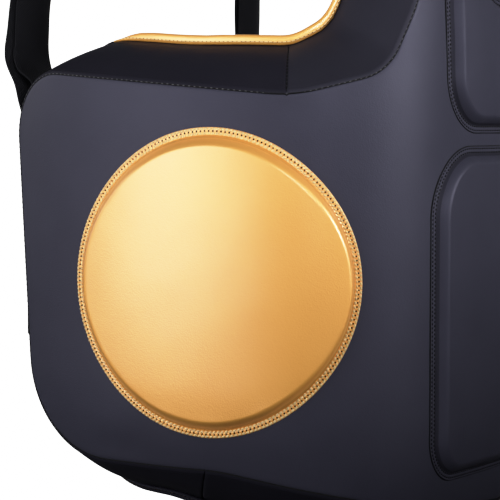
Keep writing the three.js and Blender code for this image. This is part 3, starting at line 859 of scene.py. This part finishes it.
def build_binding(name, first, last, material, slot, stitching):
    """A folded binding over a run of the lining's edge, with its stitches, and dark plugs of painted shade in
    its needle holes.
    """
    STITCH_OUT = 1.5
    STITCH_SHARE = 0.5
    STITCH_LIFT = 0.3
    run = run_of(first, last)
    make_piece(name, *tube(binding_rings(run)), material, slot, [name])
    out = np.minimum(STITCH_OUT, STITCH_SHARE * edge_reach[run])[:, None]
    row = lining_edge[run] + out * lining_out[run]
    stitches = stitch_row(bend(row, BINDING_DEPTH + STITCH_LIFT), outward(row), pitch=3.2, radius=0.42)
    holes = gaps_of(stitches, radius=0.34)
    make_piece(name + "_stitching", *stitch_mesh([stitches]), stitching, slot)
    make_piece(name + "_needle_hole_shade", *stitch_mesh([holes]), HOLE_SHADE, slot)


# Sewn-on pads

FLANGE = 6.0
PAD_INSETS = (0.12, 0.4, 0.8, 1.3, 1.8, 2.3, 2.8, 3.4, 4.2, 4.9, 5.5, 6.0, 6.6, 7.3, 8.2, 9.3, 10.6,
              12.2, 13.2, 14.2, 16.2, 19.0)
FACE_RIPPLES = [Ripple(0.28, 60, 0), Ripple(0.08, 18, 3)]
SHOULDER_RIPPLES = [Ripple(0.35, 22, 7)]

# Stitches round a sewn-on pad: distance in from the edge, pitch, radius, share of the pitch covered, slant
Row = namedtuple("Row", "inset pitch radius share slant")

# A sewn-on pad's shoulder: its width, its rise, how it rounds over at the top, the crown of the face, and
# how much narrower it is towards the centre line
Shoulder = namedtuple("Shoulder", "width rise curve crown lean")

# How a sewn-on pad is finished: leather, colour of its cut edge (on the black panels partly the edge's own
# black paint and partly painted shadow of the gap beside it), painted shade of the valley before the
# shoulder, flange's height, shoulder, stitches, needle holes (dark plugs of painted shade) and how full it is
Finish = namedtuple(
    "Finish", "leather slot rim valley flange_rise shoulder thread rows hole_inset hole_radius fill")
TARGET_FINISH = Finish(
    leather=GOLD, slot="gold_leather", rim=GOLD, valley=GOLD_VALLEY_SHADE, flange_rise=1.5,
    shoulder=Shoulder(6.8, 8.8, 1.35, 2.0, 0.28), thread=GOLD_THREAD,
    rows=[Row(1.25, 2.9, 0.95, 0.86, 16), Row(4.35, 2.9, 1.0, 0.84, 28)],
    hole_inset=2.75, hole_radius=0.8, fill=0.9)
# The panels' cut edges are painted black, partly as painted shadow of the gap, and their valleys in painted
# shade
PANEL_FINISH = Finish(
    leather=BLACK, slot="cover_leather", rim=BLACK_THREAD_AND_SHADE, valley=SHADED_ARMHOLE_BLACK, flange_rise=1.15,
    shoulder=Shoulder(7.0, 6.6, 1.5, 2.6, 0.0), thread=BLACK_THREAD_AND_SHADE,
    rows=[Row(2.2, 2.9, 0.65, 0.6, 0), Row(4.9, 2.9, 0.75, 0.6, 0)],
    hole_inset=0.0, hole_radius=0.0, fill=0.8)


def pad_rise(distance, forward, half_width, finish):
    """A sewn-on pad's rise over the front cover, by distance in from its edge and place across it."""
    EDGE_ROUND = 0.7
    PUCKER = 0.3
    PUCKER_WIDTH = 0.6
    LAP = 0.2
    edge = np.clip(distance / EDGE_ROUND, 0, 1)
    rise = finish.flange_rise * np.sqrt(np.clip(1 - (1 - edge) ** 2, 0, 1))
    for row in finish.rows:
        rise = rise - PUCKER * np.exp(-((distance - row.inset) / PUCKER_WIDTH) ** 2)
    shoulder = finish.shoulder
    share = np.clip((distance - FLANGE + LAP) / (shoulder.width * (1 - shoulder.lean * forward)), 0, 1)
    rise = rise + shoulder.rise * (1 - (1 - share) ** shoulder.curve)
    across = np.clip((distance - FLANGE) / (half_width - FLANGE), 0, 1)
    return rise + shoulder.crown * (1 - (1 - across) ** 2)


def pad_ground(points):
    """The depth at which a sewn-on pad's underside lies, sunk a little into the front cover."""
    SUNK = 0.4
    return front_depth(points) + 0.5 * COVER_CROWN - SUNK


def build_sewn_pad(name, ring, half_width, finish):
    """A pad sewn onto the front cover: stitched flange, soft shoulder and crowned face."""
    RIM_WIDTH = 0.85
    # The band of painted shade in the valley before the shoulder, by distance in from the edge
    SHADED_VALLEY = (5.4, 7.3)
    THREAD_SUNK = 0.25
    FACE_EASE = (8, 34)
    SHOULDER_AT = 10
    SHOULDER_SPREAD = 5
    FIRST_SEED = 5.0
    SEED_SPACING = 50
    flat, distance, faces = filled_shape(ring, PAD_INSETS, PAD_GRID)
    centre_s = ring[:, 0].mean()
    forward = (centre_s - flat[:, 0]) * np.sign(centre_s) / half_width
    seed = FIRST_SEED + centre_s / SEED_SPACING
    rise = pad_rise(distance, forward, half_width, finish)
    rise = rise + smoothstep(distance, *FACE_EASE) * ripples(flat, FACE_RIPPLES, seed)
    on_shoulder = np.exp(-((distance - SHOULDER_AT) / SHOULDER_SPREAD) ** 2)
    rise = rise + on_shoulder * ripples(flat, SHOULDER_RIPPLES, seed)
    points = bend(flat, pad_ground(flat) + rise)
    pad = make_piece(name, points, faces, finish.leather, finish.slot, [name])
    # The cut edge is painted in the rim's colour: on the black panels partly the edge's own black paint,
    # partly painted shadow of the gap beside it. The valley before the shoulder is painted in a darkened
    # leather, as painted shade.
    paint(pad, finish.rim, lambda corners: distance[corners].mean() < RIM_WIDTH)
    paint(pad, finish.valley, lambda corners: SHADED_VALLEY[0] < distance[corners].mean() < SHADED_VALLEY[1])

    def sewn_row(row):
        line = ring - row.inset * outward_on_ring(ring)
        level = pad_ground(line) + finish.flange_rise - THREAD_SUNK
        return stitch_row(bend(line, level), outward(line), row.pitch, row.radius, row.share, row.slant,
                          closed=True)

    stitches = stitch_mesh([sewn_row(row) for row in finish.rows])
    make_piece(name + "_stitching", *stitches, finish.thread, finish.slot)
    # Needle holes get dark plugs of painted shade
    if finish.hole_radius:
        pitch = finish.rows[0].pitch
        holes = Row(finish.hole_inset, pitch, finish.hole_radius, HOLE_LENGTH * finish.hole_radius / pitch, 0)
        make_piece(name + "_needle_hole_shade", *stitch_mesh([sewn_row(holes)]), HOLE_SHADE, finish.slot)


def target_ring(centre_s):
    """A target's rim, sewn not quite round."""
    SQUARED = 1.1
    NARROWED = 0.6
    count = round(2 * math.pi * TARGET_RADIUS / RIM_SPACING)
    angle = np.arange(count) * 2 * math.pi / count
    radius = TARGET_RADIUS + SQUARED * np.cos(4 * angle) - NARROWED * np.cos(2 * angle)
    return np.stack([centre_s + radius * np.cos(angle), radius * np.sin(angle)], axis=-1)


# Seam stitching

def build_seam_stitching():
    """The stitches along the front cover's border, and in the cross seams of the edge strips."""
    PITCH = 4.0
    INSET = 0.9
    LIFT = 0.4
    LOW_LIFT = -0.25
    LOW_EASE = (-110, -50)
    CROSS_SUNK = 0.4
    CROSS_RUN = 3
    BORDER = 4
    where = front_seam - INSET * seam_out
    lift = LOW_LIFT + (LIFT - LOW_LIFT) * smoothstep(where[:, 1], *LOW_EASE)
    line = bend(where, cover_depth(where, np.full(len(where), INSET)) + lift)
    stitches = stitch_row(line, outward(where), PITCH, radius=0.5, share=0.5, closed=True)
    make_piece("seam_stitching", *stitch_mesh([stitches]), SEAM_THREAD, "cover_leather")
    rows = []
    for sample in (armhole_seam, opposite(armhole_seam)):
        strip = gusset_grid(sample - CROSS_RUN, sample + CROSS_RUN)[:, BORDER:-BORDER]
        middle = len(strip) // 2
        line = strip[middle]
        normals = unit(np.cross(strip[middle + 1] - strip[middle - 1], np.gradient(line, axis=0)))
        rows.append(stitch_row(line - CROSS_SUNK * MM * normals, normals, PITCH, radius=0.6, share=0.75))
    make_piece("cross_seam_stitching", *stitch_mesh(rows), BLACK_THREAD_AND_SHADE, "cover_leather")


# Straps

def route(knots, steps):
    """A smooth line through knots, with the given number of steps between each two."""
    p = np.concatenate([2 * knots[:1] - knots[1:2], knots, 2 * knots[-1:] - knots[-2:-1]])
    gap = np.linalg.norm(np.diff(p, axis=0), axis=1) ** 0.5
    made = []
    for i in range(1, len(p) - 2):
        a, b, c = gap[i - 1], gap[i], gap[i + 1]
        start = ((p[i] - p[i - 1]) / a - (p[i + 1] - p[i - 1]) / (a + b) + (p[i + 1] - p[i]) / b) * b
        end = ((p[i + 1] - p[i]) / b - (p[i + 2] - p[i]) / (b + c) + (p[i + 2] - p[i + 1]) / c) * b
        for t in np.arange(steps) / steps:
            made.append((2 * t ** 3 - 3 * t ** 2 + 1) * p[i] + (t ** 3 - 2 * t ** 2 + t) * start
                        + (3 * t ** 2 - 2 * t ** 3) * p[i + 1] + (t ** 3 - t ** 2) * end)
    return np.array(made + [p[-2]])


STRAP_STEPS = 10
STRAP_CUP = 5.0
STRAP_ACROSS = np.linspace(-1, 1, 17)


def strap_frame(rows, upright):
    """Centre line, width direction and face direction of a strap along its rows."""
    knots = np.array([[row.x, row.y, row.z] for row in rows], float)
    centre = route(knots, STRAP_STEPS)
    along = unit(np.gradient(centre, axis=0))
    if upright:
        across = np.tile((0.0, 0.0, 1.0), (len(centre), 1))
    else:
        at = np.arange(len(centre)) / STRAP_STEPS
        turn = np.radians(np.interp(at, np.arange(len(rows)), [row.turn for row in rows]))
        across = np.stack([np.cos(turn), np.sin(turn), np.zeros_like(turn)], -1)
    across = unit(across - (across * along).sum(1, keepdims=True) * along)
    return centre, across, np.cross(along, across)


def build_strap(name, rows, width, upright=False, cup=0.0):
    """A webbing strap with rounded selvedges, and its own coordinates for the weave."""
    SELVEDGE_FROM = 0.98
    SELVEDGE_SHARE = 0.9
    WAVE = 0.35
    WAVE_STEP = 0.11
    WAVE_SEED = 0.5
    FREE_FROM_START = (20, 70)
    FREE_FROM_END = (30, 90)
    centre, across, face = strap_frame(rows, upright)
    half = width / 2
    edge = WEBBING / 2
    out = edge * np.where(np.abs(STRAP_ACROSS) < SELVEDGE_FROM, 1, SELVEDGE_SHARE)
    upper = np.stack([STRAP_ACROSS * (half - edge), out, STRAP_ACROSS], -1)
    section = np.concatenate([upper, [(half, 0, 1)], upper[::-1] * (1, -1, 1), [(-half, 0, -1)]])
    sideways, out, a = section.T
    places = [Vector((i * WAVE_STEP, width, WAVE_SEED)) for i in range(len(centre))]
    wave = WAVE * np.array([noise.noise(place) for place in places])
    length = lengths_along(centre)
    free = smoothstep(length, *FREE_FROM_START) * smoothstep(length[-1] - length, *FREE_FROM_END)
    bow = cup * free[:, None] * (1 - a * a) + wave[:, None] * a
    rings = centre[:, None] + sideways[:, None] * across[:, None] + (out + bow)[..., None] * face[:, None]
    uv = np.stack(np.broadcast_arrays(length[:, None], sideways), -1).reshape(-1, 2)
    make_piece(name, *tube(to_row(rings)), WEB, "webbing", [name], uv=uv)


def mirrored(rows):
    return [row._replace(x=-row.x, turn=-row.turn) for row in rows]


def build_strap_stitching(name, rows, width, upright, spans):
    """Box stitching on a strap: across its ends and down its sides, over spans of its length.

    Spans are in millimetres, and those below zero are measured back from the strap's end.
    """
    INSET = 4.0
    OUTER_FACE = -1
    LIFT = 0.1
    PATH = (0, 1, 2, 3, 0, 2, 1, 3)
    share = np.linspace(0, 1, 12)[:, None]
    centre, across, face = strap_frame(rows, upright)
    length = lengths_along(centre)
    half = width / 2 - INSET
    lift = OUTER_FACE * (WEBBING / 2 + LIFT)
    stitched = []
    for low, high in spans:
        low, high = (low + length[-1], high + length[-1]) if low < 0 else (low, high)
        box = np.array([(low, -half), (high, -half), (high, half), (low, half)])
        for a, b in zip(PATH, PATH[1:]):
            spot = box[a] * (1 - share) + box[b] * share
            at = spot[:, 0]
            normal = at_lengths(face, length, at)
            sideways = spot[:, 1:] * at_lengths(across, length, at)
            line = at_lengths(centre, length, at) + sideways + lift * normal
            stitched.append(stitch_row(to_row(line), OUTER_FACE * normal, pitch=3.4, radius=0.45))
    make_piece(name, *stitch_mesh(stitched), BLACK_THREAD_AND_SHADE, "webbing")


# Making the object

RETURN_BOXES = [(-42, -5)]
WAIST_BOXES = [(4, 34), (-34, -4)]


def on_side(side, first, last):
    """A run of the right half's edge, or the run that mirrors it."""
    return (first, last) if side == "right" else (opposite(last), opposite(first))


build_body_pad()
# The edge strips and the black lower binding take the leathers darkened as painted shade
for side, slants in (("right", (BOTTOM_SLANT, 0)), ("left", (0, -BOTTOM_SLANT))):
    build_gusset(f"flank_gusset_{side}", *on_side(side, bottom_seam, armhole_seam), SHADED_EDGE_BLACK, *slants)
    build_gusset(f"armhole_gusset_{side}", *on_side(side, armhole_seam, tab_inner), SHADED_ARMHOLE_BLACK)
    gold_run = on_side(side, binding_change, tab_outer)
    build_binding(f"armhole_binding_{side}", *gold_run, GOLD, "gold_leather", GOLD_THREAD)
build_gusset("neck_gusset", tab_inner, opposite(tab_inner), SHADED_ARMHOLE_BLACK)
build_gusset("bottom_gusset", -bottom_seam, bottom_seam, SHADED_EDGE_BLACK, -BOTTOM_SLANT, BOTTOM_SLANT)
build_binding("neck_binding", tab_inner, opposite(tab_inner), GOLD, "gold_leather", GOLD_THREAD)
build_binding("lower_binding", -binding_change, binding_change, SHADED_EDGE_BLACK, "cover_leather", BLACK_THREAD_AND_SHADE)
build_seam_stitching()

for side, centre_s in (("right", TARGET_S), ("left", -TARGET_S)):
    build_sewn_pad(f"target_{side}", target_ring(centre_s), TARGET_RADIUS, TARGET_FINISH)
panels = [("belly_panel", BELLY_ROWS, BELLY_HALF_WIDTH), ("chest_panel", CHEST_ROWS, CHEST_HALF_HEIGHT)]
for name, rows, half_width in panels:
    build_sewn_pad(name, closed_ring(rows, RIM_SPACING)[0], half_width, PANEL_FINISH)

for side, placed in (("right", list), ("left", mirrored)):
    build_strap(f"shoulder_strap_{side}", placed(STRAP_ROWS), SHOULDER_STRAP_WIDTH, cup=STRAP_CUP)
    return_rows = placed(RETURN_ROWS)
    build_strap(f"strap_return_{side}", return_rows, SHOULDER_STRAP_WIDTH, cup=STRAP_CUP)
    build_strap_stitching(f"strap_stitching_{side}", return_rows, SHOULDER_STRAP_WIDTH, False, RETURN_BOXES)
waist_rows = WAIST_ROWS + mirrored(WAIST_ROWS[:-1])[::-1]
build_strap("waist_strap", waist_rows, WAIST_STRAP_WIDTH, upright=True)
build_strap_stitching("waist_strap_stitching", waist_rows, WAIST_STRAP_WIDTH, True, WAIST_BOXES)


# Camera, light and ground

CAMERA_LENS = 144.0
CAMERA_AZIMUTH = -59.945
CAMERA_PITCH = 3.5475
CAMERA_PLACE = Vector((-1.37714, -0.72682, -0.29704))
AIM = Vector((0.0, 0.0, -0.33))

# The brightness that the film shows as white
FILM_WHITE = 2.0

# Softboxes: azimuth 0 is in front of the wearer, and raised is how far over AIM one points
Softbox = namedtuple(
    "Softbox", "name azimuth elevation distance wide high radiance spread raised", defaults=(180, 0.0))
SOFTBOX_ROWS = [
    Softbox("softbox_left", -107, 12, 1.5, 1.9, 1.12, 1.0, 74, 0.26),
    Softbox("softbox_right", 10, 15, 1.6, 1.2, 0.35, 1.2, 27, 0.04),
    Softbox("softbox_front", -42, 18, 2.1, 1.3, 0.35, 1.02, 27, 0.22),
    Softbox("softbox_far_side", 110, 15, 1.9, 1.2, 1.2, 1.6),
    Softbox("softbox_behind", -162, 15, 2.0, 1.2, 1.0, 1.6),
]


def add_camera():
    camera = bpy.data.objects.new("camera", bpy.data.cameras.new("camera"))
    camera.data.lens = CAMERA_LENS
    camera.data.sensor_width = 36.0
    camera.data.clip_start = 0.05
    turn = Euler((math.radians(90 - CAMERA_PITCH), 0, math.radians(CAMERA_AZIMUTH)))
    camera.matrix_world = Matrix.LocRotScale(CAMERA_PLACE, turn, None)
    bpy.context.scene.collection.objects.link(camera)
    bpy.context.scene.camera = camera


def add_softbox(row):
    a, e = math.radians(row.azimuth), math.radians(row.elevation)
    toward = Vector((math.sin(a) * math.cos(e), -math.cos(a) * math.cos(e), math.sin(e)))
    place = AIM + row.distance * toward
    light = bpy.data.lights.new(row.name, "AREA")
    light.shape = "RECTANGLE"
    light.size = row.wide
    light.size_y = row.high
    light.energy = row.radiance * math.pi * row.wide * row.high
    light.spread = math.radians(row.spread)
    lamp = bpy.data.objects.new(row.name, light)
    lamp.location = place
    lamp.rotation_euler = (AIM + Vector((0, 0, row.raised)) - place).to_track_quat("-Z", "Y").to_euler()
    lamp.visible_camera = False
    bpy.context.scene.collection.objects.link(lamp)


def add_world():
    """White to the eye, and a faint even light for the object."""
    world = bpy.data.worlds.new("studio")
    bpy.context.scene.world = world
    world.use_nodes = True
    tree = world.node_tree
    shown = tree.nodes["Background"]
    connect(tree, shown, {"Color": (1, 1, 1, 1), "Strength": FILM_WHITE})
    faint = add_node(tree, "ShaderNodeBackground", {"Color": (0.95, 0.97, 1, 1), "Strength": 0.07})
    seen = add_node(tree, "ShaderNodeLightPath").outputs["Is Camera Ray"]
    mix = add_node(tree, "ShaderNodeMixShader", {0: seen, 1: faint.outputs[0], 2: shown.outputs[0]})
    connect(tree, tree.nodes["World Output"], {"Surface": mix.outputs[0]})


def add_floor():
    """A pale floor below the object, which fades into the white ground away from it."""
    DROP = 0.22
    HALF = 12.0
    PALE = (0.8, 0.8, 0.8)
    DIM = (0.06, 0.06, 0.06)
    level = cad_box[0].z - DROP
    corners = [(-HALF, -HALF, level), (HALF, -HALF, level), (HALF, HALF, level), (-HALF, HALF, level)]
    mesh = bpy.data.meshes.new("floor")
    mesh.from_pydata(corners, [], [(0, 1, 2, 3)])
    material, tree, shader = new_material("floor")
    seen = add_node(tree, "ShaderNodeLightPath").outputs["Is Camera Ray"]
    connect(tree, shader, {"Base Color": mixed(tree, seen, DIM, PALE), "Roughness": 0.9})
    place = add_node(tree, "ShaderNodeTexCoord").outputs["Object"]
    flat = add_node(tree, "ShaderNodeVectorMath", {0: place, 1: (1, 1, 0)}, operation="MULTIPLY")
    reach = add_node(tree, "ShaderNodeVectorMath", {0: flat.outputs[0]}, operation="LENGTH")
    fade = add_node(tree, "ShaderNodeMapRange", {
        "Value": reach.outputs["Value"], "From Min": 0.3, "From Max": 1.3, "To Min": 0.62,
    }, interpolation_type="SMOOTHSTEP")
    share = calculated(tree, "MULTIPLY", fade.outputs["Result"], seen)
    white = add_node(tree, "ShaderNodeEmission", {"Color": (1, 1, 1, 1), "Strength": FILM_WHITE})
    mix = add_node(tree, "ShaderNodeMixShader", {0: share, 1: shader.outputs[0], 2: white.outputs[0]})
    connect(tree, tree.nodes["Material Output"], {"Surface": mix.outputs[0]})
    mesh.materials.append(material)
    floor = bpy.data.objects.new("floor", mesh)
    bpy.context.scene.collection.objects.link(floor)


# The film's response: scene brightness and what is shown of it, straight up to the shoulder
FILM_POINTS = [(0.2, 0.2), (0.4, 0.4), (0.6, 0.6), (0.8, 0.755), (1.0, 0.85), (1.2, 0.91), (1.5, 0.965)]


def set_film():
    COMBINED = 3
    view = bpy.context.scene.view_settings
    view.view_transform = "Standard"
    view.use_curve_mapping = True
    view.curve_mapping.white_level = (FILM_WHITE,) * 3
    curve = view.curve_mapping.curves[COMBINED]
    for light, shown in FILM_POINTS:
        curve.points.new(light / FILM_WHITE, shown)
    view.curve_mapping.update()


add_camera()
add_world()
add_floor()
for softbox in SOFTBOX_ROWS:
    add_softbox(softbox)
set_film()
